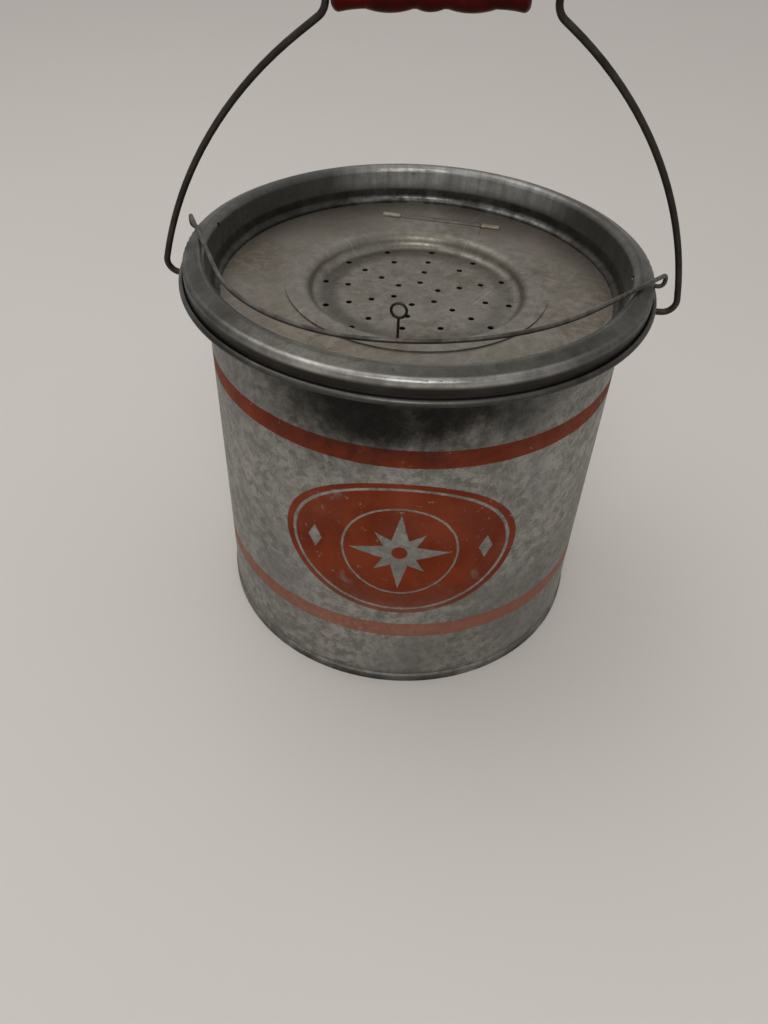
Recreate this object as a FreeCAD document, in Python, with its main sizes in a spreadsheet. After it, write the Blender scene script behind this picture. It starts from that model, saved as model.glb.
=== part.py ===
import FreeCAD, Part
import math
import os
import re

import Sketcher
from FreeCAD import Placement, Rotation, Vector

# A galvanised minnow bucket: a straight water pail with a wire bail and a wooden grip, and a bait
# pail that hangs in it by a broad bent rim, with a deck, a float, a perforated lid and a wire handle.
# The origin is the centre of the foot, +Z is up, +X runs along the outer bail's axis, -Y is the front.

# Driving sizes, in millimetres and degrees
SIZES = {
    # Sheet metal and fits
    "gauge": 0.8,               # thickness of the coated sheet
    "fit_gap": 0.3,             # between neighbouring rounded faces
    "run_gap": 0.1,             # round a wire or pin that turns in its hole
    # Outer pail
    "outer_radius": 118.4,      # outside of the wall
    "pail_height": 236.6,       # top of the wired rim above the foot
    "rim_wire_radius": 2.0,
    "foot_band": 1.0,           # how far the foot band stands out
    "foot_height": 5.0,
    "hem_width": 5.0,           # ledge under each floor
    "floor_rise": 6.0,          # top of the outer floor above the foot
    # Bail ears and their rivets
    "ear_drop": 26.6,           # bail axis below the top of the pail
    "strap_gauge": 1.6,
    "strap_rise": 7.6,          # front of the strap's bridge in front of the wall
    "strap_height": 16.0,
    "rivet_radius": 1.5,
    "rivet_head_radius": 3.0,
    "rivet_head_rise": 1.4,
    "rivet_margin": 1.0,        # sheet round a rivet's head
    # Outer bail
    "bail_wire_radius": 1.8,
    "bail_head_radius": 3.2,    # upset end behind the strap
    "bail_head_length": 2.0,
    "bail_head_room": 2.2,      # beside the upset end
    "bail_clear": 15.3,         # elbow corner outside the lip
    "bail_knee_in": 20.1,       # knee corner inside the elbow corner
    "bail_knee_up": 87.3,
    "bail_neck": 10.8,          # shoulder corner below the grip's axis
    "bail_height": 152.6,       # grip's axis above the bail's axis
    "bail_elbow_radius": 7.0,
    "bail_shoulder_radius": 9.0,
    "bail_top_radius": 2.6,
    "bail_lean": 1.5,           # forward lean at rest
    "bail_sway": 3.0,           # how far the bent wire's top stands to the right
    "bail_knee_sway": 1.5,      # how much further its knees do
    "bail_skew": 0.05,          # slope of the bent wire's top
    # Wooden grip
    "grip_length": 90.0,
    "grip_play": 5.3,           # free run at each end of a centred grip
    "grip_belly_radius": 11.2,
    "grip_end_radius": 10.9,
    "grip_neck_radius": 9.6,    # at the necks and grooves
    "grip_bead_half": 6.2,      # half length of the middle bead
    "grip_bead_rise": 1.2,
    "grip_groove": 1.8,         # groove beside the middle bead
    "grip_neck_at": 29.5,       # where a belly ends, from the middle
    "grip_end_round": 3.0,
    "grip_flare_radius": 60.0,  # hollow curve between neck and end
    # Rim of the inner pail
    "rim_lean": 9.5,            # lean of the rim's inner wall
    "rim_slope": 25.0,          # fall of the rim's top towards the skirt
    "rim_bend": 2.5,            # bend between top and skirt, outside
    "skirt_room": 4.4,          # between the outer pail's rolled edge and the skirt
    "skirt_depth": 9.58,        # lip bead below the outer pail's rolled edge
    "lip_wire_radius": 0.8,
    "deck_drop": 17.48,         # deck below the outer pail's rolled edge
    "deck_cove": 3.0,           # rounding between the rim's inner wall and the deck
    "slide_gap": 0.7,           # between the inner pail's flanges and the outer wall
    "inner_turn": -6.0,         # how the inner pail is set about the upright axis
    # Inner pail
    "pail_gap": 6.4,            # between the outsides of the two walls
    "floor_gap": 10.0,          # between the two floors
    "pan_flange": 8.0,          # upright flange of the inner floor
    "bead_radius": 3.0,         # groove that carries the float
    "bead_offset": 1.0,         # groove's centre outside the wall
    "wall_hole_radius": 2.5,
    "float_height": 40.0,
    "float_headroom": 5.2,      # between the float and the deck
    "float_clear": 13.0,        # float's bore outside the hatch
    # Lid and hinge
    "deck_ledge": 38.7,         # between the lid's edge and the rim's foot
    "lid_lap": 8.0,             # lid's seat on the deck
    "dish_gap": 0.4,            # dish inside the hatch
    "dish_slope": 11.0,         # width of the dish's rounded side
    "dish_depth": 8.0,
    "hole_radius": 1.75,
    "hole_margin": 1.8,         # outermost holes inside the dish's floor
    "hinge_gap": 9.7,           # pin behind the lid's edge
    "hinge_rise": 1.2,          # top of the knuckle above the lid's edge
    "knuckle_half": 26.0,       # half length of the lid's knuckle
    "pin_radius": 1.2,
    "pin_half": 37.5,           # half length of the pin
    "window_front": 0.5,        # deck window in front of the knuckle
    "window_back": 1.8,         # and behind it
    # Wire pull on the lid
    "pull_wire_radius": 0.75,
    "pull_stem": 13.8,
    "pull_foot": 8.0,           # foot bent under the lid
    "pull_bend": 1.4,
    "pull_eye_radius": 4.1,     # middle of the eye's wire
    # Wire handle of the inner pail
    "handle_wire_radius": 1.2,
    "handle_drop": 1.48,        # handle's axis below the outer pail's rolled edge
    "handle_clear": 0.3,        # between the arms and the lip
    "handle_reach": 104.5,      # handle's middle in front of its axis
    "handle_top_half": 62.5,    # half width at the handle's corners
    "handle_skew": 0.13,        # slope of the bent wire's middle
    "handle_tail": 4.2,         # tail bent inside the rim
    "handle_tail_radius": 1.8,
    "handle_bend": 3.0,
    "spare_hole_radius": 1.5,   # threading holes in the rim's inner side
    "spare_hole_rise": 1.2,     # above the outer pail's rolled edge
}

LID_ARMS = 6
LID_ARM_HOLES = 4
WALL_HOLE_COLUMNS = 24
WALL_HOLE_ROWS = 5
FLOOR_ARMS = 8
FLOOR_ARM_HOLES = 4
SMALLEST_CUT = 0.001

doc = FreeCAD.newDocument("minnow_bucket")
sheet = doc.addObject("Spreadsheet::Sheet", "sizes")
for row, (word, number) in enumerate(SIZES.items(), start=1):
    sheet.set(f"A{row}", word)
    sheet.set(f"B{row}", str(number))
    sheet.setAlias(f"B{row}", word)
doc.recompute()

# Sizes and places that follow from the driving sizes
WALL = "(outer_radius - gauge)"
CURL_IN = "(rim_wire_radius + fit_gap)"
CURL_OUT = f"({CURL_IN} + gauge)"
CURL_R = f"({WALL} + {CURL_OUT})"
CURL_Z = f"(pail_height - {CURL_OUT})"

ROLL_IN = f"({CURL_OUT} + fit_gap)"
ROLL_OUT = f"({ROLL_IN} + gauge)"
CREST = f"({CURL_Z} + {ROLL_OUT})"
SKIRT_IN = f"({CURL_R} + {CURL_OUT} + skirt_room)"
SKIRT_R = f"({SKIRT_IN} + gauge)"
BEND_R = f"({SKIRT_R} - rim_bend)"
BEND_FALL = f"(sin(rim_slope) * ({BEND_R} - {CURL_R}) + rim_bend - {ROLL_OUT})"
BEND_Z = f"({CURL_Z} - {BEND_FALL} / cos(rim_slope))"
LIP_IN = "(lip_wire_radius + fit_gap)"
LIP_OUT = f"({LIP_IN} + gauge)"
LIP_R = f"({SKIRT_R} + {LIP_IN})"
LIP_Z = f"({CURL_Z} - skirt_depth)"
LIP_EDGE = f"({LIP_R} + {LIP_OUT})"
DECK = f"({CURL_Z} - deck_drop)"
RIM_RUN = f"((deck_drop + {ROLL_OUT} * sin(rim_lean)) * tan(rim_lean))"
RIM_FOOT = f"({CURL_R} - {ROLL_OUT} * cos(rim_lean) - {RIM_RUN})"
FLANGE_R = f"({WALL} - slide_gap)"

SHELL_R = "(outer_radius - pail_gap)"
SHELL_IN = f"({SHELL_R} - gauge)"
INNER_FOOT = "(floor_rise + floor_gap)"
FLOAT_R = f"({SHELL_IN} - fit_gap)"
FLOAT_TOP = f"({DECK} - gauge - float_headroom)"
FLOAT_BASE = f"({FLOAT_TOP} - float_height)"
BEAD_OUT = "(bead_radius + gauge)"
BEAD_SEAT = f"sqrt({BEAD_OUT}^2 - (bead_offset + gauge + fit_gap)^2)"
BEAD_Z = f"({FLOAT_BASE} - fit_gap - {BEAD_SEAT})"

LID_R = f"({RIM_FOOT} - deck_ledge)"
HATCH_R = f"({LID_R} - lid_lap)"
FLOAT_BORE = f"({HATCH_R} + float_clear)"
DISH_R = f"({HATCH_R} - dish_gap)"
DISH_FLOOR_R = f"({DISH_R} - dish_slope)"
LID_PITCH = f"(({DISH_FLOOR_R} - hole_margin) / {LID_ARM_HOLES})"
KNUCKLE_R = "(pin_radius + run_gap + gauge)"
HINGE_Y = f"({LID_R} + hinge_gap)"
HINGE_Z = f"({DECK} + gauge + hinge_rise - {KNUCKLE_R})"

EAR_Z = "(pail_height - ear_drop)"
STRAP_FOOT = "(outer_radius + strap_gauge)"
BRIDGE_FRONT = "(outer_radius + strap_rise)"
BRIDGE_HALF = "(bail_head_radius + bail_head_room + strap_gauge)"
RIVET_Y = f"({BRIDGE_HALF} + rivet_margin + rivet_head_radius)"
STRAP_HALF = f"({RIVET_Y} + rivet_head_radius + rivet_margin)"
BAIL_HEAD = f"({BRIDGE_FRONT} - strap_gauge - fit_gap)"
BAIL_LEG = "(grip_length / 2 + grip_play + bail_top_radius)"
HANDLE_Z = f"({CURL_Z} - handle_drop)"

LEFT_BOW = 1
RIGHT_BOW = -1
ALONG_X = Rotation(Vector(0, 1, 0), 90)
AGAINST_X = Rotation(Vector(0, 1, 0), -90)


def bound(text):
    """Name the sheet in front of every size that a formula uses."""
    return re.sub(r"[a-z_]+", lambda word: f"sizes.{word[0]}" if word[0] in SIZES else word[0], text)


def value(text):
    """Work a formula out as a number."""
    return float(sheet.evalExpression(bound(text)))


INNER_SET = Placement(Vector(), Rotation(Vector(0, 0, 1), value("inner_turn")))


def tie(sketch, kind, *where, text):
    """Add a constraint whose size is a formula."""
    number = sketch.addConstraint(Sketcher.Constraint(kind, *where, value(text)))
    sketch.setExpression(f"Constraints[{number}]", bound(text))


def hold(sketch, edge, point, across, up):
    """Fix a point of a sketch by its two distances from the origin."""
    for kind, text, axis in (("DistanceX", across, -2), ("DistanceY", up, -1)):
        if text == "0":
            sketch.addConstraint(Sketcher.Constraint("PointOnObject", edge, point, axis))
        else:
            tie(sketch, kind, -1, 1, edge, point, text=text)


def origin_feature(body, role):
    """Find one of a body's own planes or axes."""
    return next(feature for feature in body.Origin.OriginFeatures if feature.Role == role)


def new_sketch(body, name, role):
    """Start a sketch on one of a body's own planes."""
    sketch = body.newObject("Sketcher::SketchObject", name)
    sketch.AttachmentSupport = [(origin_feature(body, role), "")]
    sketch.MapMode = "FlatFace"
    return sketch


def bow(start, finish, radius, side):
    """Make the short arc between two points with its centre on the given side of the way."""
    chord = finish - start
    rise = math.sqrt(max(radius ** 2 - (chord.Length / 2) ** 2, 0))
    across = Vector(-chord.y, chord.x, 0).normalize()
    centre = (start + finish) * 0.5 + across * (rise * side)
    first, last = (start, finish) if side == LEFT_BOW else (finish, start)
    angles = [math.atan2(end.y - centre.y, end.x - centre.x) for end in (first, last)]
    return Part.ArcOfCircle(Part.Circle(centre, Vector(0, 0, 1), radius), *angles)


def draw(sketch, corners):
    """Draw a closed outline of (across, up) corners; a radius and a side bow the run that follows."""
    points = [Vector(value(corner[0]), value(corner[1]), 0) for corner in corners]
    runs = []
    for number, corner in enumerate(corners):
        start = points[number]
        finish = points[(number + 1) % len(points)]
        if len(corner) == 2:
            edge = sketch.addGeometry(Part.LineSegment(start, finish))
            runs.append((edge, 1, 2))
            continue
        radius, side = corner[2:]
        edge = sketch.addGeometry(bow(start, finish, value(radius), side))
        tie(sketch, "Radius", edge, text=radius)
        runs.append((edge, 1, 2) if side == LEFT_BOW else (edge, 2, 1))
    for number, (edge, first, last) in enumerate(runs):
        next_edge, next_first, _ = runs[(number + 1) % len(runs)]
        sketch.addConstraint(Sketcher.Constraint("Coincident", edge, last, next_edge, next_first))
        hold(sketch, edge, first, *corners[number][:2])


def turned(label, corners):
    """Make a body by turning an outline of (radius, height) corners about the upright axis."""
    body = doc.addObject("PartDesign::Body", label)
    sketch = new_sketch(body, label + "_outline", "XZ_Plane")
    draw(sketch, corners)
    turn = body.newObject("PartDesign::Revolution", label + "_turn")
    turn.Profile = sketch
    turn.ReferenceAxis = (sketch, ["V_Axis"])
    turn.Angle = 360
    doc.recompute()
    return body


def punch(body, name, role, holes, count):
    """Punch a row of (across, up, radius) holes right through one side, and repeat it round the axis."""
    whole = body.Shape.Volume
    sketch = new_sketch(body, name + "_marks", role)
    for across, up, radius in holes:
        centre = Vector(value(across), value(up), 0)
        edge = sketch.addGeometry(Part.Circle(centre, Vector(0, 0, 1), value(radius)))
        hold(sketch, edge, 3, across, up)
        tie(sketch, "Radius", edge, text=radius)
    pocket = body.newObject("PartDesign::Pocket", name)
    pocket.Profile = sketch
    pocket.Type = "ThroughAll"
    doc.recompute()
    if whole - body.Shape.Volume < SMALLEST_CUT:
        pocket.Reversed = True
        doc.recompute()
    ring = body.newObject("PartDesign::PolarPattern", name + "_ring")
    ring.Originals = [pocket]
    ring.Axis = (origin_feature(body, "Z_Axis"), [""])
    ring.Angle = 360
    ring.Occurrences = count
    body.Tip = ring
    doc.recompute()
    if whole - body.Shape.Volume < SMALLEST_CUT:
        raise RuntimeError(f"{name} cuts nothing")


def primitive(kind, label, sizes, base, rotation=Rotation()):
    """Make a block, cylinder or ring whose sizes and place are formulas."""
    piece = doc.addObject(kind, label)
    piece.Placement = Placement(Vector(), rotation)
    for word, text in sizes.items():
        piece.setExpression(word, bound(text))
    for axis, text in zip("xyz", base):
        piece.setExpression(f"Placement.Base.{axis}", bound(text))
    return piece


def block(label, low, high):
    """Make a block between two corners."""
    words = ("Length", "Width", "Height")
    sides = {word: f"({top}) - ({bottom})" for word, bottom, top in zip(words, low, high)}
    return primitive("Part::Box", label, sides, low)


def rod(label, radius, start, length, base=("0", "0")):
    """Make a cylinder along +X from a start, at a (y, z) place."""
    return primitive("Part::Cylinder", label, {"Radius": radius, "Height": length}, (start, *base), ALONG_X)


def ring_wire(label, ring_radius, wire_radius, height):
    """Make a closed wire ring about the upright axis."""
    radii = {"Radius1": ring_radius, "Radius2": wire_radius}
    return primitive("Part::Torus", label, radii, ("0", "0", height))


def fuse(label, pieces):
    """Join overlapping pieces into one solid."""
    joined = doc.addObject("Part::MultiFuse", label)
    joined.Shapes = pieces
    return joined


def cut(label, base, tool):
    """Take one piece out of another."""
    left = doc.addObject("Part::Cut", label)
    left.Base = base
    left.Tool = tool
    return left


def bent_path(corners, radii):
    """Join straight runs by tangent arcs; a corner with no radius takes the largest that its runs allow."""
    runs = [after - before for before, after in zip(corners, corners[1:])]
    slopes = [math.tan(into.getAngle(out) / 2) for into, out in zip(runs, runs[1:])]
    reaches = [radius * slope if radius else None for radius, slope in zip(radii, slopes)]
    taken = [0.0, *reaches, 0.0]
    for number, radius in enumerate(radii):
        if radius:
            continue
        sides = ((runs[number], taken[number]), (runs[number + 1], taken[number + 2]))
        free = [run.Length / 2 if used is None else run.Length - used for run, used in sides]
        reaches[number] = 0.98 * min(free)
    edges = []
    here = corners[0]
    for corner, into, out, reach, slope in zip(corners[1:], runs, runs[1:], reaches, slopes):
        into = Vector(into).normalize()
        out = Vector(out).normalize()
        start = corner - into * reach
        finish = corner + out * reach
        depth = reach / slope * (math.hypot(1, slope) - 1)
        middle = corner + (out - into).normalize() * depth
        edges.append(Part.LineSegment(here, start).toShape())
        edges.append(Part.Arc(start, middle, finish).toShape())
        here = finish
    edges.append(Part.LineSegment(here, corners[-1]).toShape())
    return Part.Wire(edges)


def mirrored(half):
    """Complete one half of a wire's corners with its mirror image across X = 0."""
    return half + [Vector(-corner.x, corner.y, corner.z) for corner in reversed(half)]


def bent_wire(label, corners, radii, wire_radius):
    """Sweep a round wire along straight runs joined by arcs."""
    path = doc.addObject("Part::Feature", label + "_path")
    path.Shape = bent_path(corners, radii)
    section = doc.addObject("Part::Circle", label + "_section")
    section.setExpression("Radius", bound(wire_radius))
    section.Placement = Placement(corners[0], Rotation(Vector(0, 0, 1), corners[1] - corners[0]))
    wire = doc.addObject("Part::Sweep", label)
    wire.Sections = [section]
    wire.Spine = (path, [f"Edge{number + 1}" for number in range(len(path.Shape.Edges))])
    wire.Solid = True
    return wire


def outer_shell():
    """Straight wall with a hem under the floor, a foot band and an edge rolled round the rim wire."""
    wall = turned("outer_wall", [
        (f"{WALL} - hem_width", "0"),
        ("outer_radius + foot_band", "0"),
        ("outer_radius + foot_band", "foot_height"),
        ("outer_radius", "foot_height + foot_band"),
        ("outer_radius", CURL_Z, CURL_IN, RIGHT_BOW),
        (CURL_R, f"{CURL_Z} + {CURL_IN}", CURL_IN, RIGHT_BOW),
        (f"{CURL_R} + {CURL_IN}", CURL_Z, CURL_IN, RIGHT_BOW),
        (CURL_R, f"{CURL_Z} - {CURL_IN}"),
        (CURL_R, f"{CURL_Z} - {CURL_OUT}", CURL_OUT, LEFT_BOW),
        (f"{CURL_R} + {CURL_OUT}", CURL_Z, CURL_OUT, LEFT_BOW),
        (CURL_R, f"{CURL_Z} + {CURL_OUT}", CURL_OUT, LEFT_BOW),
        (WALL, CURL_Z),
        (WALL, "gauge"),
        (f"{WALL} - hem_width", "gauge"),
    ])
    hole = ("rivet_radius + run_gap", "-2 * outer_radius", "4 * outer_radius")
    holes = [
        rod(f"rivet_hole_{number}", *hole, (side, EAR_Z))
        for number, side in enumerate((RIVET_Y, f"-{RIVET_Y}"))
    ]
    return cut("outer_shell", wall, fuse("rivet_holes", holes))


def outer_bottom():
    """Floor pan that stands on the wall's hem."""
    edge = f"({WALL} - fit_gap)"
    return turned("outer_bottom", [
        ("0", "floor_rise - gauge"),
        (f"{edge} - gauge", "floor_rise - gauge"),
        (f"{edge} - gauge", "gauge"),
        (edge, "gauge"),
        (edge, "floor_rise"),
        ("0", "floor_rise"),
    ])


def bail_ear(label, rotation):
    """Hat-shaped strap on the wall, with a hole in its bridge for the bail's end."""
    low = f"({EAR_Z} - strap_height / 2)"
    high = f"({EAR_Z} + strap_height / 2)"
    hollow_half = f"({BRIDGE_HALF} - strap_gauge)"
    foot = block(label + "_foot", ("0", f"-{STRAP_HALF}", low), (STRAP_FOOT, STRAP_HALF, high))
    bridge = block(label + "_bridge", ("0", f"-{BRIDGE_HALF}", low), (BRIDGE_FRONT, BRIDGE_HALF, high))
    hollow = block(
        label + "_hollow",
        ("0", f"-{hollow_half}", f"{low} - strap_height"),
        (f"{BRIDGE_FRONT} - strap_gauge", hollow_half, f"{high} + strap_height"),
    )
    wall_sizes = {"Radius": "outer_radius + fit_gap", "Height": "2 * pail_height"}
    wall = primitive("Part::Cylinder", label + "_wall", wall_sizes, ("0", "0", "0"))
    bail_hole = rod(label + "_eye", "bail_wire_radius + run_gap", "0", "2 * outer_radius", ("0", EAR_Z))
    rivet_holes = [
        rod(f"{label}_hole_{number}", "rivet_radius + run_gap", "0", "2 * outer_radius", (side, EAR_Z))
        for number, side in enumerate((RIVET_Y, f"-{RIVET_Y}"))
    ]
    strap = fuse(label + "_strap", [foot, bridge])
    ear = cut(label, strap, fuse(label + "_cuts", [hollow, wall, bail_hole, *rivet_holes]))
    ear.Placement = Placement(Vector(), rotation)
    return ear


def ear_rivets():
    """Four round-headed rivets through the straps' feet and the wall."""
    inner_head = f"(sqrt({WALL}^2 - ({RIVET_Y} + rivet_head_radius)^2) - run_gap)"
    dome = "((rivet_head_radius^2 + rivet_head_rise^2) / (2 * rivet_head_rise))"
    rivets = []
    for rotation in (ALONG_X, AGAINST_X):
        for side in (1, -1):
            rivet = turned(f"rivet_{len(rivets) + 1}", [
                ("0", f"{inner_head} - gauge"),
                ("rivet_head_radius", f"{inner_head} - gauge"),
                ("rivet_head_radius", inner_head),
                ("rivet_radius", inner_head),
                ("rivet_radius", STRAP_FOOT),
                ("rivet_head_radius", STRAP_FOOT, dome, LEFT_BOW),
                ("0", f"{STRAP_FOOT} + rivet_head_rise"),
            ])
            rivet.Placement = Placement(Vector(0, side * value(RIVET_Y), value(EAR_Z)), rotation)
            rivets.append(rivet)
    group = doc.addObject("Part::Compound", "ear_rivets")
    group.Links = rivets
    return group


def bail_place(along, up):
    """Place something on the leaning bail, at a distance along and above its axis."""
    lean = Rotation(Vector(1, 0, 0), value("bail_lean"))
    return Placement(Vector(along, 0, value(EAR_Z)) + lean.multVec(Vector(0, 0, up)), lean)


def outer_bail():
    """Bent wire: upset ends, elbows outside the lip, long bowed legs, shoulders and a straight top."""
    elbow = value(f"{LIP_EDGE} + bail_clear")
    leg = value(BAIL_LEG)
    top = value("bail_height")
    half = [
        Vector(value(f"{BAIL_HEAD} - bail_head_length"), 0, 0),
        Vector(elbow, 0, 0),
        Vector(elbow - value("bail_knee_in"), 0, value("bail_knee_up")),
        Vector(leg, 0, top - value("bail_neck")),
        Vector(leg, 0, top),
    ]
    corners = mirrored(half)
    for knee in (corners[2], corners[-3]):
        knee.x += value("bail_knee_sway")
    for corner in corners:
        share = corner.z / top
        corner.z += value("bail_skew") * corner.x * share
        corner.x += value("bail_sway") * share
    radii = [value("bail_elbow_radius"), None, value("bail_shoulder_radius"), value("bail_top_radius")]
    wire = bent_wire("bail_wire", corners, radii + radii[::-1], "bail_wire_radius")
    heads = [
        rod(f"bail_head_{number}", "bail_head_radius", start, "bail_head_length")
        for number, start in enumerate((f"{BAIL_HEAD} - bail_head_length", f"-{BAIL_HEAD}"))
    ]
    bail = fuse("outer_bail", [wire, *heads])
    bail.Placement = bail_place(0, 0)
    return bail


def bail_grip():
    """Turned grip: a middle bead between two grooves, two long bellies, necks and flared ends."""
    middle = "(grip_length / 2)"
    groove_end = "(grip_bead_half + grip_groove)"
    end = "grip_end_round"
    bead = "((grip_bead_half^2 + grip_bead_rise^2) / (2 * grip_bead_rise))"
    belly_half = f"((grip_neck_at - {groove_end}) / 2)"
    belly_rise = "(grip_belly_radius - grip_neck_radius)"
    belly = f"(({belly_half}^2 + {belly_rise}^2) / (2 * {belly_rise}))"
    bore = "(bail_wire_radius + run_gap)"
    grip = turned("bail_grip", [
        (bore, "0"),
        (f"grip_end_radius - {end}", "0", end, LEFT_BOW),
        ("grip_end_radius", end, "grip_flare_radius", RIGHT_BOW),
        ("grip_neck_radius", f"{middle} - grip_neck_at", belly, LEFT_BOW),
        ("grip_neck_radius", f"{middle} - {groove_end}"),
        ("grip_neck_radius", f"{middle} - grip_bead_half", bead, LEFT_BOW),
        ("grip_neck_radius", f"{middle} + grip_bead_half"),
        ("grip_neck_radius", f"{middle} + {groove_end}", belly, LEFT_BOW),
        ("grip_neck_radius", f"{middle} + grip_neck_at", "grip_flare_radius", RIGHT_BOW),
        ("grip_end_radius", f"grip_length - {end}", end, LEFT_BOW),
        (f"grip_end_radius - {end}", "grip_length"),
        (bore, "grip_length"),
    ])
    slope = Rotation(Vector(0, 1, 0), -math.degrees(math.atan(value("bail_skew"))))
    slid = slope.multVec(Vector(-value(f"{middle} + grip_play - fit_gap"), 0, 0))
    on_wire = Placement(slid, slope.multiply(ALONG_X))
    grip.Placement = bail_place(value("bail_sway"), value("bail_height")).multiply(on_wire)
    return grip


def inner_shell():
    """Perforated wall with a hem under the floor, a bead under the float and a flange under the deck."""
    groove = "sqrt(bead_radius^2 - bead_offset^2)"
    ridge = f"sqrt({BEAD_OUT}^2 - (bead_offset + gauge)^2)"
    shell = turned("inner_shell", [
        (f"{SHELL_IN} - hem_width", INNER_FOOT),
        (SHELL_R, INNER_FOOT),
        (SHELL_R, f"{BEAD_Z} - {groove}", "bead_radius", RIGHT_BOW),
        (SHELL_R, f"{BEAD_Z} + {groove}"),
        (SHELL_R, f"{DECK} - 2 * gauge"),
        (FLANGE_R, f"{DECK} - 2 * gauge"),
        (FLANGE_R, f"{DECK} - gauge"),
        (SHELL_IN, f"{DECK} - gauge"),
        (SHELL_IN, f"{BEAD_Z} + {ridge}", BEAD_OUT, LEFT_BOW),
        (SHELL_IN, f"{BEAD_Z} - {ridge}"),
        (SHELL_IN, f"{INNER_FOOT} + gauge"),
        (f"{SHELL_IN} - hem_width", f"{INNER_FOOT} + gauge"),
    ])
    row_pitch = f"(({BEAD_Z} - {INNER_FOOT}) / {WALL_HOLE_ROWS + 1})"
    rows = [f"{INNER_FOOT} + {row_pitch} * {row + 1}" for row in range(WALL_HOLE_ROWS)]
    holes = [("0", height, "wall_hole_radius") for height in rows]
    punch(shell, "wall_holes", "XZ_Plane", holes, WALL_HOLE_COLUMNS)
    shell.Placement = INNER_SET
    return shell


def inner_bottom():
    """Perforated floor pan that stands on the inner wall's hem."""
    base = f"({INNER_FOOT} + gauge)"
    pan = turned("inner_bottom", [
        ("0", base),
        (FLOAT_R, base),
        (FLOAT_R, f"{base} + pan_flange"),
        (f"{FLOAT_R} - gauge", f"{base} + pan_flange"),
        (f"{FLOAT_R} - gauge", f"{base} + gauge"),
        ("0", f"{base} + gauge"),
    ])
    pitch = f"({FLOAT_R} / {FLOOR_ARM_HOLES + 1})"
    holes = [("0", f"{pitch} * {step + 1}", "wall_hole_radius") for step in range(FLOOR_ARM_HOLES)]
    punch(pan, "floor_holes", "XY_Plane", holes, FLOOR_ARMS)
    pan.Placement = INNER_SET
    return pan


def top_rim():
    """Rim over the outer pail's edge: a coved wall inside, a sloping top and a skirt with a beaded lip."""
    cove_top = f"({DECK} + gauge + deck_cove)"
    cove_run = "(deck_cove + tan(rim_lean) * (gauge + deck_cove))"
    cove = f"(({cove_run}^2 + deck_cove^2) / (2 * deck_cove))"
    cove_edge = f"({RIM_FOOT} - deck_cove)"
    wall_foot = f"({RIM_FOOT} + gauge * tan(rim_lean) + gauge / cos(rim_lean))"

    def wall_end(radius):
        return f"{CURL_R} - {radius} * cos(rim_lean)", f"{CURL_Z} + {radius} * sin(rim_lean)"

    def slope_end(across, up, radius):
        return f"{across} + {radius} * sin(rim_slope)", f"{up} + {radius} * cos(rim_slope)"

    roll = turned("rim_roll", [
        (cove_edge, DECK),
        (FLANGE_R, DECK),
        (FLANGE_R, f"{DECK} + gauge"),
        (wall_foot, f"{DECK} + gauge"),
        (*wall_end(ROLL_IN), ROLL_IN, RIGHT_BOW),
        slope_end(CURL_R, CURL_Z, ROLL_IN),
        (*slope_end(BEND_R, BEND_Z, "(rim_bend - gauge)"), "rim_bend - gauge", RIGHT_BOW),
        (SKIRT_IN, BEND_Z),
        (f"{LIP_R} - {LIP_OUT}", LIP_Z, LIP_OUT, LEFT_BOW),
        (LIP_R, f"{LIP_Z} - {LIP_OUT}", LIP_OUT, LEFT_BOW),
        (LIP_EDGE, LIP_Z, LIP_OUT, LEFT_BOW),
        (LIP_R, f"{LIP_Z} + {LIP_OUT}"),
        (LIP_R, f"{LIP_Z} + {LIP_IN}", LIP_IN, RIGHT_BOW),
        (f"{LIP_R} + {LIP_IN}", LIP_Z, LIP_IN, RIGHT_BOW),
        (LIP_R, f"{LIP_Z} - {LIP_IN}", LIP_IN, RIGHT_BOW),
        (f"{LIP_R} - {LIP_IN}", LIP_Z),
        (SKIRT_R, BEND_Z, "rim_bend", LEFT_BOW),
        slope_end(BEND_R, BEND_Z, "rim_bend"),
        (*slope_end(CURL_R, CURL_Z, ROLL_OUT), ROLL_OUT, LEFT_BOW),
        wall_end(ROLL_OUT),
        (f"{cove_edge} + {cove_run}", cove_top, cove, RIGHT_BOW),
        (cove_edge, f"{DECK} + gauge"),
    ])
    pivot_radius = "handle_wire_radius + run_gap"
    reach = f"(2 * {ROLL_OUT})"
    spare_place = ("0", f"{CURL_Z} + spare_hole_rise")
    holes = [
        rod("pivot_right", pivot_radius, BEND_R, reach, ("0", HANDLE_Z)),
        rod("pivot_left", pivot_radius, f"-{BEND_R} - {reach}", reach, ("0", HANDLE_Z)),
        rod("spare_right", "spare_hole_radius", f"{CURL_R} - {reach}", reach, spare_place),
        rod("spare_left", "spare_hole_radius", f"-{CURL_R}", reach, spare_place),
    ]
    rim = cut("top_rim", roll, fuse("rim_holes", holes))
    rim.Placement = INNER_SET
    return rim


def float_ring():
    """Foam ring that stands on the inner wall's bead."""
    ring = turned("float_ring", [
        (FLOAT_BORE, FLOAT_BASE),
        (FLOAT_R, FLOAT_BASE),
        (FLOAT_R, FLOAT_TOP),
        (FLOAT_BORE, FLOAT_TOP),
    ])
    ring.Placement = INNER_SET
    return ring


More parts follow.
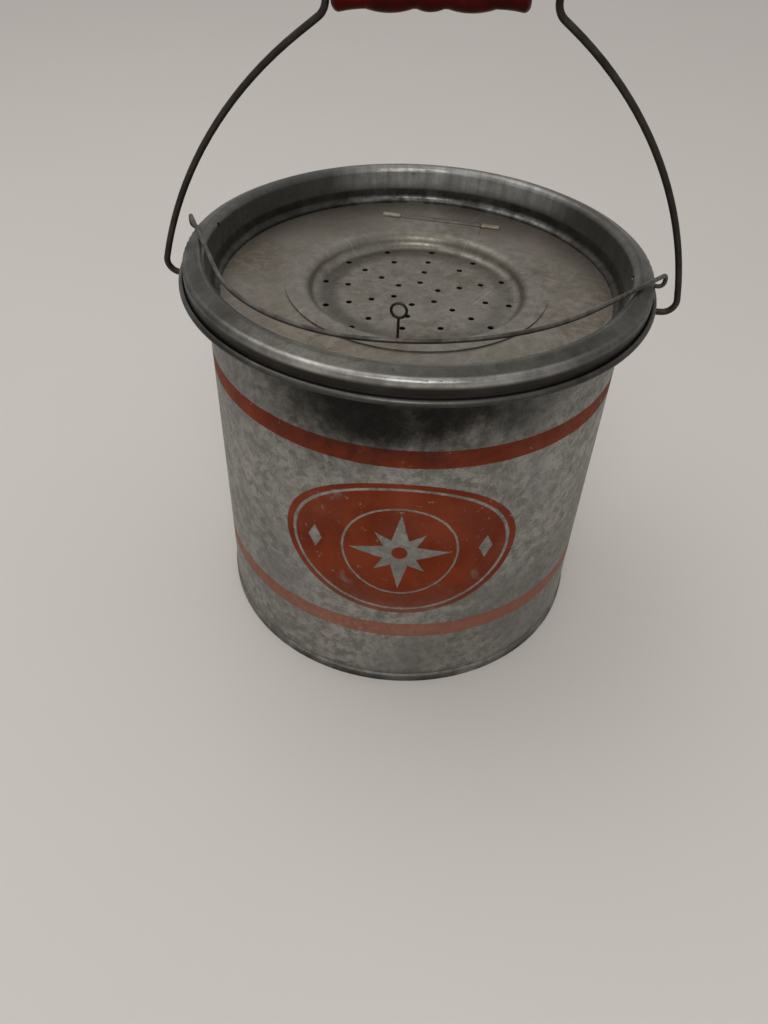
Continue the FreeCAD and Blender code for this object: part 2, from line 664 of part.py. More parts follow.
def deck_plate():
    """Ring plate round the hatch, with a window for the lid's knuckle and a tube for each end of the pin."""
    plate = turned("deck_disc", [
        (HATCH_R, f"{DECK} - gauge"),
        (FLANGE_R, f"{DECK} - gauge"),
        (FLANGE_R, DECK),
        (HATCH_R, DECK),
    ])
    window_half = "(knuckle_half + fit_gap)"
    window = block(
        "deck_window",
        (f"-{window_half}", f"{HINGE_Y} - {KNUCKLE_R} - window_front", f"{DECK} - 2 * gauge"),
        (window_half, f"{HINGE_Y} + {KNUCKLE_R} + window_back", f"{DECK} + gauge"),
    )
    place = (HINGE_Y, HINGE_Z)
    tube_length = f"(pin_half - {window_half})"
    tubes = [
        rod("deck_tube_right", KNUCKLE_R, window_half, tube_length, place),
        rod("deck_tube_left", KNUCKLE_R, "-pin_half", tube_length, place),
    ]
    bore_half = "(pin_half + run_gap)"
    bore = rod("deck_bore", "pin_radius + run_gap", f"-{bore_half}", f"2 * {bore_half}", place)
    ring = cut("deck_ring", plate, window)
    deck = cut("deck_plate", fuse("deck_with_tubes", [ring, *tubes]), bore)
    deck.Placement = INNER_SET
    return deck


def lid():
    """Dished lid with arms of holes, and a tongue rolled into a knuckle round the hinge pin."""
    floor = f"({DECK} - dish_depth)"
    both_bends = "((dish_slope^2 + dish_depth^2) / (2 * dish_depth))"
    inner_bend = f"(({both_bends} - gauge) / 2)"
    outer_bend = f"({inner_bend} + gauge)"
    under = (
        f"{DISH_FLOOR_R} + {outer_bend} * dish_slope / {both_bends}",
        f"{floor} + {outer_bend} * dish_depth / {both_bends}",
    )
    over = (
        f"{DISH_FLOOR_R} + {inner_bend} * dish_slope / {both_bends}",
        f"{floor} + gauge + {inner_bend} * dish_depth / {both_bends}",
    )
    pan = turned("lid_pan", [
        ("0", floor),
        (DISH_FLOOR_R, floor, outer_bend, LEFT_BOW),
        (*under, inner_bend, RIGHT_BOW),
        (DISH_R, DECK),
        (LID_R, DECK),
        (LID_R, f"{DECK} + gauge"),
        (DISH_R, f"{DECK} + gauge", outer_bend, LEFT_BOW),
        (*over, inner_bend, RIGHT_BOW),
        (DISH_FLOOR_R, f"{floor} + gauge"),
        ("0", f"{floor} + gauge"),
    ])
    steps = range(1, LID_ARM_HOLES + 1)
    long_arm = [("0", f"{LID_PITCH} * {step}", "hole_radius") for step in steps]
    short_arm = [(f"{LID_PITCH} * {step}", "0", "hole_radius") for step in steps if step > LID_ARM_HOLES / 2]
    punch(pan, "long_arms", "XY_Plane", long_arm, LID_ARMS)
    punch(pan, "short_arms", "XY_Plane", short_arm, LID_ARMS)
    tongue = block(
        "lid_tongue",
        ("-knuckle_half", HATCH_R, DECK),
        ("knuckle_half", HINGE_Y, f"{DECK} + gauge"),
    )
    place = (HINGE_Y, HINGE_Z)
    knuckle = rod("lid_knuckle", KNUCKLE_R, "-knuckle_half", "2 * knuckle_half", place)
    bore = rod("lid_bore", "pin_radius + run_gap", "-2 * knuckle_half", "4 * knuckle_half", place)
    cover = cut("lid", fuse("lid_with_knuckle", [pan, tongue, knuckle]), bore)
    cover.Placement = INNER_SET
    return cover


def hinge_pin():
    """Straight pin through the lid's knuckle and the deck's tubes."""
    pin = turned("hinge_pin", [
        ("0", "0"),
        ("pin_radius", "0"),
        ("pin_radius", "2 * pin_half"),
        ("0", "2 * pin_half"),
    ])
    start = Vector(-value("pin_half"), value(HINGE_Y), value(HINGE_Z))
    pin.Placement = INNER_SET.multiply(Placement(start, ALONG_X))
    return pin


def lid_pull():
    """Wire pull: a foot bent under the lid, a stem through the front hole and a closed eye on top."""
    floor = f"({DECK} - dish_depth)"
    foot = value(f"{floor} - pull_bend")
    stem_top = f"({floor} + gauge + pull_stem)"
    front = f"(-{LID_PITCH} * {LID_ARM_HOLES})"
    corners = [
        Vector(value("pull_foot"), value(front), foot),
        Vector(0, value(front), foot),
        Vector(0, value(front), value(stem_top)),
    ]
    stem = bent_wire("pull_shank", corners, [value("pull_bend")], "pull_wire_radius")
    eye_sizes = {"Radius1": "pull_eye_radius", "Radius2": "pull_wire_radius"}
    eye_place = ("0", front, f"{stem_top} + pull_eye_radius")
    eye = primitive("Part::Torus", "pull_eye", eye_sizes, eye_place, Rotation(Vector(1, 0, 0), 90))
    pull = fuse("lid_pull", [stem, eye])
    pull.Placement = INNER_SET
    return pull


def inner_bail():
    """Thin wire handle: tails inside the rim, cranks over its crest and one broad bend to the front."""
    rise = value(f"{CREST} + fit_gap + handle_wire_radius - {HANDLE_Z}")
    tail = value(f"{SKIRT_IN} - skirt_room / 2")
    arm = value(f"{LIP_EDGE} + handle_clear + handle_wire_radius")
    half = [
        Vector(tail, value("handle_tail"), 0),
        Vector(tail, 0, 0),
        Vector(arm, 0, 0),
        Vector(arm, 0, rise),
        Vector(value("handle_top_half"), -value("handle_reach"), rise),
    ]
    corners = mirrored(half)
    for corner in corners[len(half) - 1:len(half) + 1]:
        corner.y += value("handle_skew") * corner.x
    bend = value("handle_bend")
    radii = [value("handle_tail_radius"), bend, bend, None]
    handle = bent_wire("inner_bail", corners, radii + radii[::-1], "handle_wire_radius")
    handle.Placement = INNER_SET.multiply(Placement(Vector(0, 0, value(HANDLE_Z)), Rotation()))
    return handle


parts = [
    outer_shell(),
    outer_bottom(),
    ring_wire("outer_rim_wire", CURL_R, "rim_wire_radius", CURL_Z),
    bail_ear("bail_ear_right", Rotation()),
    bail_ear("bail_ear_left", Rotation(Vector(0, 0, 1), 180)),
    ear_rivets(),
    outer_bail(),
    bail_grip(),
    inner_shell(),
    inner_bottom(),
    top_rim(),
    ring_wire("lip_wire", LIP_R, "lip_wire_radius", LIP_Z),
    float_ring(),
    deck_plate(),
    lid(),
    hinge_pin(),
    lid_pull(),
    inner_bail(),
]
doc.recompute()

for item in doc.Objects:
    if {"Invalid", "Error"} & set(item.State):
        raise RuntimeError(f"{item.Label} failed: {item.State}")
for part in parts:
    if part.Shape.isNull() or not part.Shape.isValid():
        raise RuntimeError(f"{part.Label} has no valid shape")

os.makedirs("parts", exist_ok=True)
for part in parts:
    part.Shape.exportStep(os.path.join("parts", part.Label + ".step"))
    print(f"{part.Label}: {len(part.Shape.Solids)} solids, {part.Shape.Volume:.0f} mm3")
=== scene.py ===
import math

import bpy
from mathutils import Matrix, Vector

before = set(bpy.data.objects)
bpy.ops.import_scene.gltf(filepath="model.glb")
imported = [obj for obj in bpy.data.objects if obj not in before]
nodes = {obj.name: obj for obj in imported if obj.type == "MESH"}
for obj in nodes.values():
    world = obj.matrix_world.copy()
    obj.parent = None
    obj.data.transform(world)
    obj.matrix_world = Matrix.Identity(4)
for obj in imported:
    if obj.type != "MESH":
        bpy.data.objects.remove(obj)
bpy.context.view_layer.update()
scene = bpy.context.scene

# Linear colours
ZINC_PALE = (0.385, 0.376, 0.352, 1)
ZINC_DARK = (0.192, 0.187, 0.173, 1)
ZINC_BLUE = (0.235, 0.250, 0.250, 1)
RIM_PALE = (0.245, 0.240, 0.225, 1)
RIM_DARK = (0.145, 0.141, 0.130, 1)
RIM_BLUE = (0.175, 0.186, 0.188, 1)
# Tarnish, also used as painted shade on the rim's flanks
RIM_TARNISH_AND_SHADE = (0.038, 0.035, 0.029, 1)
# Painted highlight on the rim
RIM_HIGHLIGHT = (0.570, 0.572, 0.556, 1)
TAN_PALE = (0.238, 0.212, 0.175, 1)
TAN_DARK = (0.142, 0.123, 0.100, 1)
TAN_GREY = (0.232, 0.223, 0.198, 1)
# Grime, also used as painted shade and as a painted dark reflection
GRIME_AND_SHADE = (0.030, 0.027, 0.023, 1)
# Soot, also used as painted shadow and shade under the lip
SOOT_AND_SHADOW = (0.010, 0.009, 0.008, 1)
BROWN_FILM = (0.130, 0.100, 0.070, 1)
RUST = (0.110, 0.055, 0.028, 1)
ORANGE = (0.215, 0.038, 0.011, 1)
ORANGE_DEEP = (0.155, 0.024, 0.007, 1)
ORANGE_FADED = (0.330, 0.100, 0.048, 1)
STEEL_BLACK = (0.022, 0.019, 0.016, 1)
STEEL_DULL = (0.062, 0.056, 0.049, 1)
STEEL_GREY = (0.115, 0.108, 0.098, 1)
STEEL_PALE = (0.190, 0.182, 0.168, 1)
RED_PAINT = (0.115, 0.005, 0.005, 1)
RED_DEEP = (0.040, 0.003, 0.003, 1)
BARE_WOOD = (0.190, 0.090, 0.042, 1)
FOAM_PALE = (0.72, 0.71, 0.67, 1)
FOAM_STAINED = (0.52, 0.49, 0.42, 1)
FLOOR_DARK = (0.66, 0.635, 0.61, 1)
FLOOR_PALE = (0.70, 0.675, 0.65, 1)
ROOM_TINT = (1.0, 0.970, 0.935, 1)
LAMP_TINT = (1.0, 0.97, 0.93)

# Places on the part, in metres
WALL_RADIUS = 0.1184
CREST_RADIUS = 0.1207
SKIRT_BEND = (0.1280, 0.1286)
SKIRT_SHADE = (0.2298, 0.2326)
# Radii of the rim's painted highlight on the outer bend, then heights of the painted highlight inside at the
# back
BEND_HIGHLIGHT = (0.1266, 0.1300)
REAR_HIGHLIGHT = (0.2262, 0.2366)
LIP_TOP = 0.2262
DECK_TOP = 0.2160
COVE_TOP = 0.2202
DISH_WALL = (0.0455, 0.0560)
KNUCKLE_START = 0.0800
FOOT_GRIME_TOP = 0.012
WORN_RISE = (0.045, 0.095)
PALE_RISE = (0.050, 0.075)
# Heights where the painted shadow and smudges under the lip fade in
SHADOW_SMUDGE_RISE = (0.155, 0.213)
LIP_SHADE = (0.203, 0.219)
UPPER_BAND = (0.1759, 0.1872)
LOWER_BAND = (0.0442, 0.0555)
PANEL_SIDE = 0.0060
PANEL_HEIGHT = 0.1155
PANEL_HALF = (0.068, 0.050)
PAINT_EDGE = 0.0002
PAINT_WANDER = 0.0007
ROSE_LONG = (0.0285, 0.0070)
ROSE_SHORT = (0.0200, 0.0062)
ROSE_EYE = 0.0045
ROSE_RING = (0.0318, 0.0330)
SIDE_DIAMOND = (0.0042, 0.0085)
SIDE_DIAMOND_REACH = 0.0490

# The panel's border line, as shares of the oval
PANEL_BORDER = (0.905, 0.935)

# Angles in radians
INNER_TURN = math.radians(-6)
# Middle and spread, around the wall, of the painted shadow and smudges under the lip
SHADOW_SMUDGE_MIDDLE = 0.04
SHADOW_SMUDGE_SPREAD = (0.30, 0.85)

# Slants of the scratches, in degrees
SCRATCH_SLANTS = (18, 64, 147)

# Room, lamps and camera, in metres, with the camera's turn, pitch and roll in degrees
FLOOR_RADIUS = 6
FLOOR_DROP = 0.0002
BRIGHT_WALL = (0.0, 0.90, 0.40)
ROOM_LEVELS = (0.44, 0.68)
LAMP_AIM = (0, 0, 0.15)
CAMERA_PLACE = (0.02135, -0.43648, 0.4408)
CAMERA_ANGLES = (-4.465, 42.8083, 2.6055)
CAMERA_LENS = 29.18


class Surface:
    """A principled material that is built up node by node in the object's own coordinates."""

    def __init__(self, name):
        self.material = bpy.data.materials.new(name)
        self.material.use_nodes = True
        self.tree = self.material.node_tree
        self.shader = self.tree.nodes["Principled BSDF"]
        self.place = self.tree.nodes.new("ShaderNodeTexCoord").outputs["Object"]
        self.x, self.y, self.z = self.split(self.place)

    def feed(self, socket, value):
        if isinstance(value, bpy.types.NodeSocket):
            self.tree.links.new(value, socket)
        else:
            socket.default_value = value

    def split(self, vector):
        made = self.tree.nodes.new("ShaderNodeSeparateXYZ")
        self.feed(made.inputs[0], vector)
        return made.outputs

    def join(self, x, y, z):
        made = self.tree.nodes.new("ShaderNodeCombineXYZ")
        for socket, value in zip(made.inputs, (x, y, z)):
            self.feed(socket, value)
        return made.outputs[0]

    def math(self, operation, *values):
        made = self.tree.nodes.new("ShaderNodeMath")
        made.operation = operation
        for socket, value in zip(made.inputs, values):
            self.feed(socket, value)
        return made.outputs[0]

    def chain(self, operation, *values):
        total = values[0]
        for value in values[1:]:
            total = self.math(operation, total, value)
        return total

    def add(self, *values):
        return self.chain("ADD", *values)

    def times(self, *values):
        return self.chain("MULTIPLY", *values)

    def most(self, *values):
        return self.chain("MAXIMUM", *values)

    def less(self, value):
        """One minus a value."""
        return self.math("SUBTRACT", 1.0, value)

    def length(self, first, second):
        return self.math("SQRT", self.add(self.times(first, first), self.times(second, second)))

    def noise(self, scale, detail=4, roughness=0.55, place=None):
        made = self.tree.nodes.new("ShaderNodeTexNoise")
        self.feed(made.inputs["Vector"], place or self.place)
        made.inputs["Scale"].default_value = scale
        made.inputs["Detail"].default_value = detail
        made.inputs["Roughness"].default_value = roughness
        return made.outputs["Fac"]

    def cells(self, scale, place=None):
        made = self.tree.nodes.new("ShaderNodeTexVoronoi")
        self.feed(made.inputs["Vector"], place or self.place)
        made.inputs["Scale"].default_value = scale
        return self.split(made.outputs["Color"])[0]

    def scratches(self, slant):
        """Thin broken lines across the part at an angle in degrees."""
        cosine = math.cos(math.radians(slant))
        sine = math.sin(math.radians(slant))
        along = self.add(self.times(self.x, cosine), self.times(self.y, sine))
        across = self.add(self.times(self.y, cosine), self.times(self.x, -sine))
        lines = self.noise(520, 2, 0.5, self.join(self.times(along, 0.05), across, slant))
        return self.step(lines, 0.68, 0.74)

    def step(self, value, low, high, start=0.0, end=1.0):
        made = self.tree.nodes.new("ShaderNodeMapRange")
        made.interpolation_type = "SMOOTHSTEP"
        self.feed(made.inputs["Value"], value)
        for word, number in (("From Min", low), ("From Max", high), ("To Min", start), ("To Max", end)):
            made.inputs[word].default_value = number
        return made.outputs[0]

    def band(self, value, low, high, edge):
        rising = self.step(value, low - edge, low + edge)
        return self.times(rising, self.step(value, high - edge, high + edge, 1, 0))

    def blend(self, factor, first, second):
        made = self.tree.nodes.new("ShaderNodeMix")
        made.data_type = "RGBA"
        for socket, value in zip((made.inputs[0], made.inputs[6], made.inputs[7]), (factor, first, second)):
            self.feed(socket, value)
        return made.outputs[2]

    def relief(self, *layers):
        """Stack bumps of (height, strength, depth in metres)."""
        normal = None
        for height, strength, depth in layers:
            made = self.tree.nodes.new("ShaderNodeBump")
            made.inputs["Strength"].default_value = strength
            made.inputs["Distance"].default_value = depth
            self.feed(made.inputs["Height"], height)
            if normal:
                self.feed(made.inputs["Normal"], normal)
            normal = made.outputs[0]
        self.feed(self.shader.inputs["Normal"], normal)

    def finish(self, colour, roughness, metallic):
        self.feed(self.shader.inputs["Base Color"], colour)
        self.feed(self.shader.inputs["Roughness"], roughness)
        self.feed(self.shader.inputs["Metallic"], metallic)
        return self.material


def zinc_tones(s, pale, dark, tint):
    """Oxidised zinc: fine crystal mottle under soft clouds. Returns the colour and the mottle."""
    wander = s.noise(90, 2)
    shifted = s.join(
        s.add(s.x, s.times(wander, 0.010)),
        s.add(s.y, s.times(s.noise(70, 2), 0.010)),
        s.add(s.z, s.times(wander, 0.007)),
    )
    mottle = s.add(
        s.times(s.noise(26, 5, 0.6), 0.26),
        s.times(s.noise(170, 5, 0.65), 0.38),
        s.times(s.cells(240, shifted), 0.10),
        s.times(s.noise(800, 3, 0.6), 0.26),
    )
    colour = s.blend(s.step(mottle, 0.38, 0.62), dark, pale)
    colour = s.blend(s.times(s.step(s.noise(15, 4), 0.42, 0.62), 0.50), colour, tint)
    return colour, mottle


def zinc_relief(s, mottle, waves=0.22):
    """Slow waves of hand-worked sheet, and the grain of the coat."""
    s.relief((s.noise(13, 2), waves, 0.0022), (mottle, 0.14, 0.0005), (s.noise(900, 2), 0.10, 0.0001))


def plain_zinc(name):
    """Hidden sheets of both pails: zinc with wet stains."""
    s = Surface(name)
    colour, mottle = zinc_tones(s, ZINC_PALE, ZINC_DARK, ZINC_BLUE)
    stain = s.times(s.step(s.noise(9, 6, 0.65), 0.50, 0.70), 0.65)
    colour = s.blend(stain, colour, BROWN_FILM)
    zinc_relief(s, mottle)
    return s.finish(colour, s.step(mottle, 0.3, 0.7, 0.56, 0.42), 0.90)


def round_panel(s, across, up):
    """One mask for an oval panel with a bare border line, two diamonds and an eight-pointed rose."""
    wide, tall = PANEL_HALF
    oval = s.length(s.times(across, 1 / wide), s.times(up, 1 / tall))
    reach = s.length(across, up)

    def diamond(first, second, long, short):
        span = s.add(
            s.times(s.math("ABSOLUTE", first), 1 / long),
            s.times(s.math("ABSOLUTE", second), 1 / short),
        )
        return s.step(span, 1 - PAINT_EDGE / short, 1 + PAINT_EDGE / short, 1, 0)

    rising = s.times(s.add(across, up), math.sqrt(0.5))
    falling = s.times(s.math("SUBTRACT", across, up), math.sqrt(0.5))
    rose = s.most(
        diamond(across, up, *ROSE_LONG),
        diamond(up, across, *ROSE_LONG),
        diamond(rising, falling, *ROSE_SHORT),
        diamond(falling, rising, *ROSE_SHORT),
    )
    rose = s.times(rose, s.step(reach, ROSE_EYE - PAINT_EDGE, ROSE_EYE + PAINT_EDGE))
    aside = s.add(s.math("ABSOLUTE", across), -SIDE_DIAMOND_REACH)
    bare = s.most(
        rose,
        s.band(reach, *ROSE_RING, PAINT_EDGE),
        s.band(oval, *PANEL_BORDER, 0.004),
        diamond(aside, up, *SIDE_DIAMOND),
    )
    return s.times(s.step(oval, 0.995, 1.005, 1, 0), s.less(bare))


def banded_zinc(name):
    """The outer wall: zinc with two orange bands, an orange panel, painted shadow and smudges under the lip,
    a grimy foot.
    """
    s = Surface(name)
    colour, mottle = zinc_tones(s, ZINC_PALE, ZINC_DARK, ZINC_BLUE)
    angle = s.math("ARCTAN2", s.x, s.times(s.y, -1))
    around = s.times(angle, WALL_RADIUS)
    ragged = s.times(s.add(s.noise(420, 3), -0.5), PAINT_WANDER)
    height = s.add(s.z, ragged)
    bands = s.most(s.band(height, *UPPER_BAND, PAINT_EDGE), s.band(height, *LOWER_BAND, PAINT_EDGE))
    panel = round_panel(s, s.add(around, ragged, -PANEL_SIDE), s.add(height, -PANEL_HEIGHT))
    chips = s.times(s.step(s.noise(210, 6, 0.72), 0.31, 0.37), s.step(s.noise(48, 5), 0.24, 0.36, 0.6, 1))
    faded = s.times(s.step(s.noise(30, 5, 0.6), 0.35, 0.65, 0.96, 1.0), s.step(s.z, *WORN_RISE, 0.76, 1))
    paint = s.times(s.most(bands, panel), chips, faded)

    orange = s.blend(s.step(s.noise(34, 5), 0.35, 0.68), ORANGE_DEEP, ORANGE)
    orange = s.blend(s.step(s.z, *PALE_RISE, 0.65, 0), orange, ORANGE_FADED)
    # Painted shadow with dark smudges on the front below the lip, and painted shade all round just under the
    # lip
    front = s.step(s.math("ABSOLUTE", s.add(angle, -SHADOW_SMUDGE_MIDDLE)), *SHADOW_SMUDGE_SPREAD, 1.0, 0.25)
    shadow_and_smudge_depth = s.add(s.step(s.z, *SHADOW_SMUDGE_RISE), s.times(s.add(s.noise(24, 6, 0.66), -0.5), 1.6))
    shadow_and_smudge = s.times(s.step(shadow_and_smudge_depth, 0.08, 0.98, 0, 0.96), front)
    shade = s.times(s.step(s.z, *LIP_SHADE), 0.80)
    foot = s.times(s.step(s.z, 0.0, FOOT_GRIME_TOP, 1, 0), s.step(s.noise(45, 4), 0.3, 0.6, 0.35, 0.85))
    streaks = s.noise(95, 5, 0.6, s.join(s.x, s.y, s.times(s.z, 0.10)))
    dirt = s.most(foot, s.times(s.step(streaks, 0.56, 0.76), 0.28))
    film = s.times(s.step(s.noise(8, 5, 0.6), 0.45, 0.70), 0.38)

    colour = s.blend(film, colour, BROWN_FILM)
    colour = s.blend(paint, colour, orange)
    colour = s.blend(dirt, colour, GRIME_AND_SHADE)
    colour = s.blend(s.most(shadow_and_smudge, shade), colour, SOOT_AND_SHADOW)
    zinc_relief(s, mottle, 0.14)
    s.shader.inputs["Specular IOR Level"].default_value = 0.06
    rough = s.add(s.step(mottle, 0.3, 0.7, 0.58, 0.46), s.times(paint, 0.05))
    return s.finish(colour, rough, s.add(0.88, s.times(paint, -0.70)))


def rim_zinc(name):
    """The bent rim: tarnished, with painted shade on its flanks, painted highlights on its outer bend and
    inside at the back, and a black skirt of painted dark reflection and grime.
    """
    s = Surface(name)
    colour, mottle = zinc_tones(s, RIM_PALE, RIM_DARK, RIM_BLUE)
    reach = s.length(s.x, s.y)
    side, back = (s.math("DIVIDE", part, reach) for part in (s.x, s.y))
    spoke = [s.times(part, CREST_RADIUS) for part in (side, back)]
    streaks = s.step(s.noise(330, 4, 0.62, s.join(*spoke, s.times(reach, 0.06))), 0.30, 0.72)
    # Tarnish on the outer top slope, and painted shade darkening the left and right flanks
    top = s.step(reach, CREST_RADIUS - 0.0020, CREST_RADIUS + 0.0010)
    patches = s.step(s.noise(24, 5, 0.6), 0.25, 0.60, 0.62, 1.0)
    flank = s.times(s.step(s.math("ABSOLUTE", side), 0.15, 0.70), patches)
    tarnish_and_shade = s.most(s.times(top, 0.60), s.times(flank, s.step(top, 0, 1, 0.62, 0.95)))

    # Painted highlights: a streaked band and the cove line inside at the back, and a band on the outer bend
    # that fades towards the sides
    rear = s.times(s.step(s.add(back, s.times(side, 0.15)), 0.72, 0.95), s.less(top))
    rear_band = s.times(s.band(s.z, *REAR_HIGHLIGHT, 0.0030), s.step(streaks, 0.1, 0.7, 0.68, 1.0))
    cove = s.step(s.z, COVE_TOP - 0.0008, COVE_TOP + 0.0006, 1, 0)
    bend = s.times(s.band(reach, *BEND_HIGHLIGHT, 0.0006), s.step(s.z, *SKIRT_SHADE))
    bend = s.times(bend, s.step(s.math("ABSOLUTE", side), 0.30, 0.80, 0.72, 0.06))
    highlight = s.most(s.times(rear, s.most(rear_band, cove)), bend)
    highlight = s.times(highlight, s.step(s.noise(60, 5, 0.65), 0.32, 0.66, 0.35, 1.0))

    # Painted dark reflection, with grime, on the skirt below the outer bend
    skirt = s.times(s.step(reach, *SKIRT_BEND), s.step(s.z, *SKIRT_SHADE, 1, 0))
    skirt = s.times(skirt, s.step(s.z, LIP_TOP, LIP_TOP + 0.0012))
    skirt = s.times(skirt, s.step(s.noise(40, 5), 0.25, 0.60, 0.75, 1.0))
    # Painted shade at the foot of the inner wall, next to the deck, except at the back
    foot = s.times(s.step(s.z, DECK_TOP + 0.0010, DECK_TOP + 0.0075, 1, 0), s.less(rear))
    foot = s.times(foot, s.step(s.noise(26, 5), 0.42, 0.66, 0, 0.65))
    specks = s.times(s.step(s.noise(110, 5, 0.72), 0.64, 0.74), 0.6)
    # The lip is darker below its top
    lip = s.step(s.z, LIP_TOP - 0.0030, LIP_TOP - 0.0010, 1, 0)
    lip = s.times(lip, s.step(s.noise(85, 5, 0.65), 0.35, 0.62, 0.92, 0.60))

    colour = s.blend(s.times(streaks, 0.35), colour, RIM_PALE)
    colour = s.blend(tarnish_and_shade, colour, RIM_TARNISH_AND_SHADE)
    colour = s.blend(highlight, colour, RIM_HIGHLIGHT)
    colour = s.blend(s.most(skirt, foot, specks, lip), colour, GRIME_AND_SHADE)
    zinc_relief(s, s.add(mottle, s.times(streaks, s.step(highlight, 0, 1, 0.25, 0.45))))
    rough = s.add(s.step(mottle, 0.3, 0.7, 0.48, 0.34), s.times(highlight, -0.06))
    return s.finish(colour, rough, 0.93)


def tanned_zinc(name, pale, dark, ridge_shadow):
    """Deck and lid: zinc stained brown, with rusty freckles, rubs, a crinkled dish with painted shade on its
    wall, and a painted shadow along the hinge ridge.
    """
    s = Surface(name)
    colour, mottle = zinc_tones(s, pale, dark, TAN_GREY)
    stain = s.times(s.step(s.noise(18, 6, 0.62), 0.48, 0.68), 0.60)
    colour = s.blend(stain, colour, TAN_DARK)
    rusty = s.times(s.step(s.noise(60, 6, 0.7), 0.63, 0.76), 0.55)
    colour = s.blend(rusty, colour, RUST)
    rubs = s.times(s.step(s.noise(130, 5, 0.7), 0.66, 0.74), 0.7)
    scratches = s.times(s.most(*(s.scratches(slant) for slant in SCRATCH_SLANTS)), 0.35)
    colour = s.blend(s.most(rubs, scratches), colour, ZINC_PALE)
    # Painted shade on the dish wall, darker towards the left, and a painted shadow line along the hinge ridge
    dish = s.band(s.length(s.x, s.y), *DISH_WALL, 0.004)
    dish_shade = s.times(dish, s.step(s.x, -0.055, 0.020, 0.65, 0.36))
    hingeward = s.add(s.times(s.y, math.cos(INNER_TURN)), s.times(s.x, -math.sin(INNER_TURN)))
    ridge = s.times(s.step(hingeward, KNUCKLE_START, KNUCKLE_START + 0.002), ridge_shadow)
    colour = s.blend(s.most(dish_shade, ridge), colour, GRIME_AND_SHADE)
    crinkle = s.times(s.noise(150, 3), dish)
    s.relief((s.noise(13, 2), 0.50, 0.0022), (crinkle, 0.35, 0.0020), (mottle, 0.14, 0.0005))
    return s.finish(colour, s.step(mottle, 0.3, 0.7, 0.54, 0.32), 0.85)


def old_wire(name, dark, pale, rust_share):
    """Drawn steel wire, dull and lightly rusted."""
    s = Surface(name)
    clouds = s.noise(75, 6, 0.65)
    colour = s.blend(s.step(clouds, 0.20, 0.85), dark, pale)
    rusty = s.times(s.step(s.noise(160, 5, 0.7), 0.52, 0.70), rust_share)
    colour = s.blend(rusty, colour, RUST)
    s.relief((s.noise(600, 3), 0.18, 0.0002))
    return s.finish(colour, s.step(clouds, 0.3, 0.7, 0.60, 0.40), 0.75)


def painted_grip(name):
    """Dark red paint on turned wood, worn dull and chipped here and there to the wood."""
    s = Surface(name)
    grain = s.noise(240, 5, 0.6, s.join(s.times(s.x, 0.15), s.y, s.z))
    colour = s.blend(s.step(s.noise(32, 5), 0.35, 0.7), RED_DEEP, RED_PAINT)
    chips = s.step(s.noise(170, 6, 0.72), 0.68, 0.72)
    colour = s.blend(s.times(chips, 0.75), colour, BARE_WOOD)
    s.relief((grain, 0.12, 0.0003), (chips, 0.30, 0.0002))
    s.shader.inputs["Specular IOR Level"].default_value = 0.1
    s.shader.inputs["Coat Weight"].default_value = 0.05
    s.shader.inputs["Coat Roughness"].default_value = 0.20
    return s.finish(colour, s.step(grain, 0.3, 0.7, 0.46, 0.30), 0.0)


def foam(name):
    """Expanded foam: pressed beads, yellowed in patches."""
    s = Surface(name)
    beads = s.cells(330)
    colour = s.blend(s.step(s.noise(30, 5), 0.4, 0.7), FOAM_PALE, FOAM_STAINED)
    s.relief((beads, 0.35, 0.0006))
    return s.finish(colour, s.step(beads, 0, 1, 0.95, 0.8), 0.0)


def dress(material, *names):
    """Give one material to each named node."""
    for name in names:
        mesh = nodes[name].data
        mesh.materials.clear()
        mesh.materials.append(material)


dress(banded_zinc("banded_zinc"), "outer_shell")
dress(plain_zinc("plain_zinc"), "outer_bottom", "inner_shell", "inner_bottom")
dress(rim_zinc("rim_zinc"), "top_rim")
dress(tanned_zinc("deck_zinc", TAN_PALE, TAN_DARK, 0.0), "deck_plate")
dress(tanned_zinc("lid_zinc", TAN_GREY, TAN_DARK, 0.55), "lid")
dress(old_wire("bail_steel", STEEL_BLACK, STEEL_DULL, 0.30), "outer_bail", "lid_pull")
dress(old_wire("handle_steel", STEEL_BLACK, STEEL_PALE, 0.20), "inner_bail", "hinge_pin")
dress(old_wire("rim_steel", STEEL_BLACK, STEEL_GREY, 0.45), "outer_rim_wire", "lip_wire")
dress(old_wire("strap_steel", STEEL_GREY, STEEL_PALE, 0.30), "bail_ear_left", "bail_ear_right", "ear_rivets")
dress(painted_grip("painted_grip"), "bail_grip")
dress(foam("foam"), "float_ring")


def pale_floor():
    """A large plain floor under the part."""
    bpy.ops.mesh.primitive_circle_add(
        vertices=96, radius=FLOOR_RADIUS, fill_type="NGON", location=(0, 0, -FLOOR_DROP)
    )
    floor = bpy.context.object
    floor.name = "floor"
    s = Surface("pale_floor")
    s.relief((s.noise(40, 3), 0.05, 0.001))
    colour = s.blend(s.noise(3, 4), FLOOR_DARK, FLOOR_PALE)
    floor.data.materials.append(s.finish(colour, 0.7, 0.0))


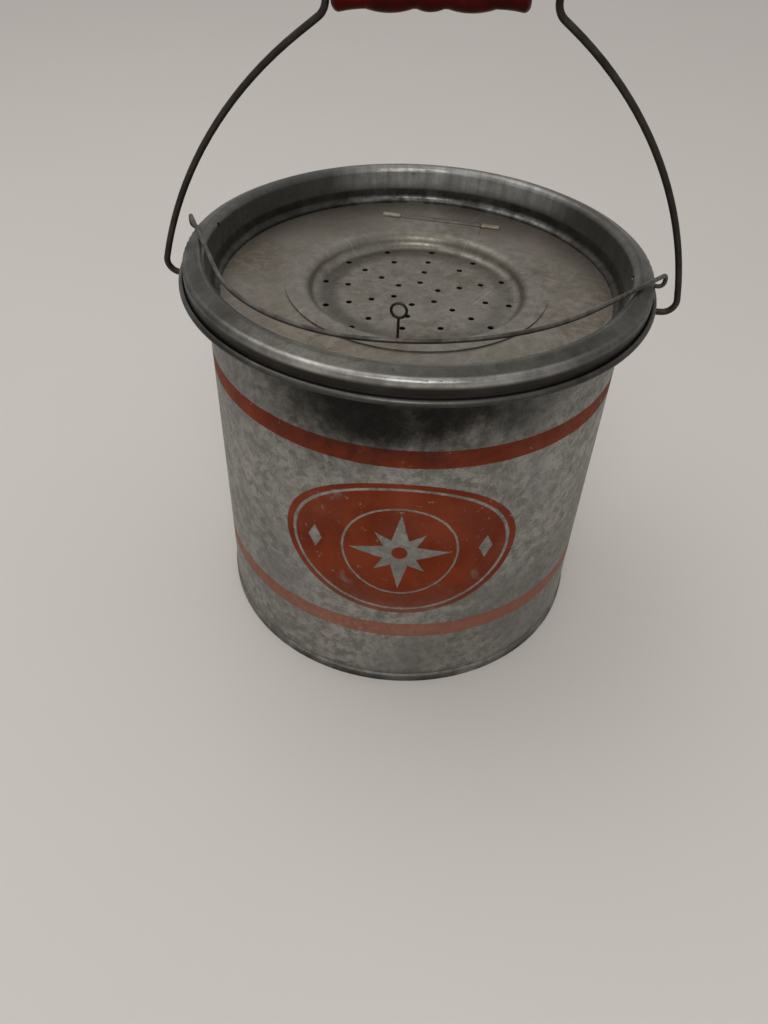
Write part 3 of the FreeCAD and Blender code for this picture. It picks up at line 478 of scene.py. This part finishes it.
def soft_room():
    """A warm white room that every ray sees alike, brighter towards the wall behind the part."""
    world = bpy.data.worlds.new("soft_room")
    scene.world = world
    world.use_nodes = True
    tree = world.node_tree
    direction = tree.nodes.new("ShaderNodeTexCoord")
    towards = tree.nodes.new("ShaderNodeVectorMath")
    towards.operation = "DOT_PRODUCT"
    towards.inputs[1].default_value = Vector(BRIGHT_WALL).normalized()
    tree.links.new(direction.outputs["Generated"], towards.inputs[0])
    level = tree.nodes.new("ShaderNodeMapRange")
    level.interpolation_type = "SMOOTHSTEP"
    tree.links.new(towards.outputs["Value"], level.inputs["Value"])
    for word, number in zip(("To Min", "To Max"), ROOM_LEVELS):
        level.inputs[word].default_value = number
    background = tree.nodes["Background"]
    background.inputs["Color"].default_value = ROOM_TINT
    tree.links.new(level.outputs[0], background.inputs["Strength"])


def lamp(name, place, size, power):
    """A round soft lamp that points at the pail."""
    light = bpy.data.lights.new(name, "AREA")
    light.shape = "DISK"
    light.size = size
    light.energy = power
    light.color = LAMP_TINT
    made = bpy.data.objects.new(name, light)
    scene.collection.objects.link(made)
    made.location = place
    made.rotation_euler = (Vector(LAMP_AIM) - Vector(place)).to_track_quat("-Z", "Y").to_euler()


def photo_camera():
    """A camera at the photograph's place, tilt and field."""
    turn, pitch, roll = (math.radians(angle) for angle in CAMERA_ANGLES)
    ahead = Vector((math.sin(turn) * math.cos(pitch), math.cos(turn) * math.cos(pitch), -math.sin(pitch)))
    right = ahead.cross(Vector((0, 0, 1))).normalized()
    up = right.cross(ahead)
    side = right * math.cos(roll) + up * math.sin(roll)
    top = up * math.cos(roll) - right * math.sin(roll)
    data = bpy.data.cameras.new("photo_camera")
    data.sensor_fit = "VERTICAL"
    data.sensor_height = 36
    data.lens = CAMERA_LENS
    data.clip_start = 0.01
    camera = bpy.data.objects.new("photo_camera", data)
    scene.collection.objects.link(camera)
    camera.matrix_world = Matrix((side, top, -ahead)).transposed().to_4x4()
    camera.location = CAMERA_PLACE
    scene.camera = camera


pale_floor()
soft_room()
lamp("ceiling", (0.05, -1.10, 1.45), 0.7, 7)
lamp("window", (-0.60, 0.25, 1.50), 1.2, 4)
photo_camera()
scene.view_settings.view_transform = "Standard"
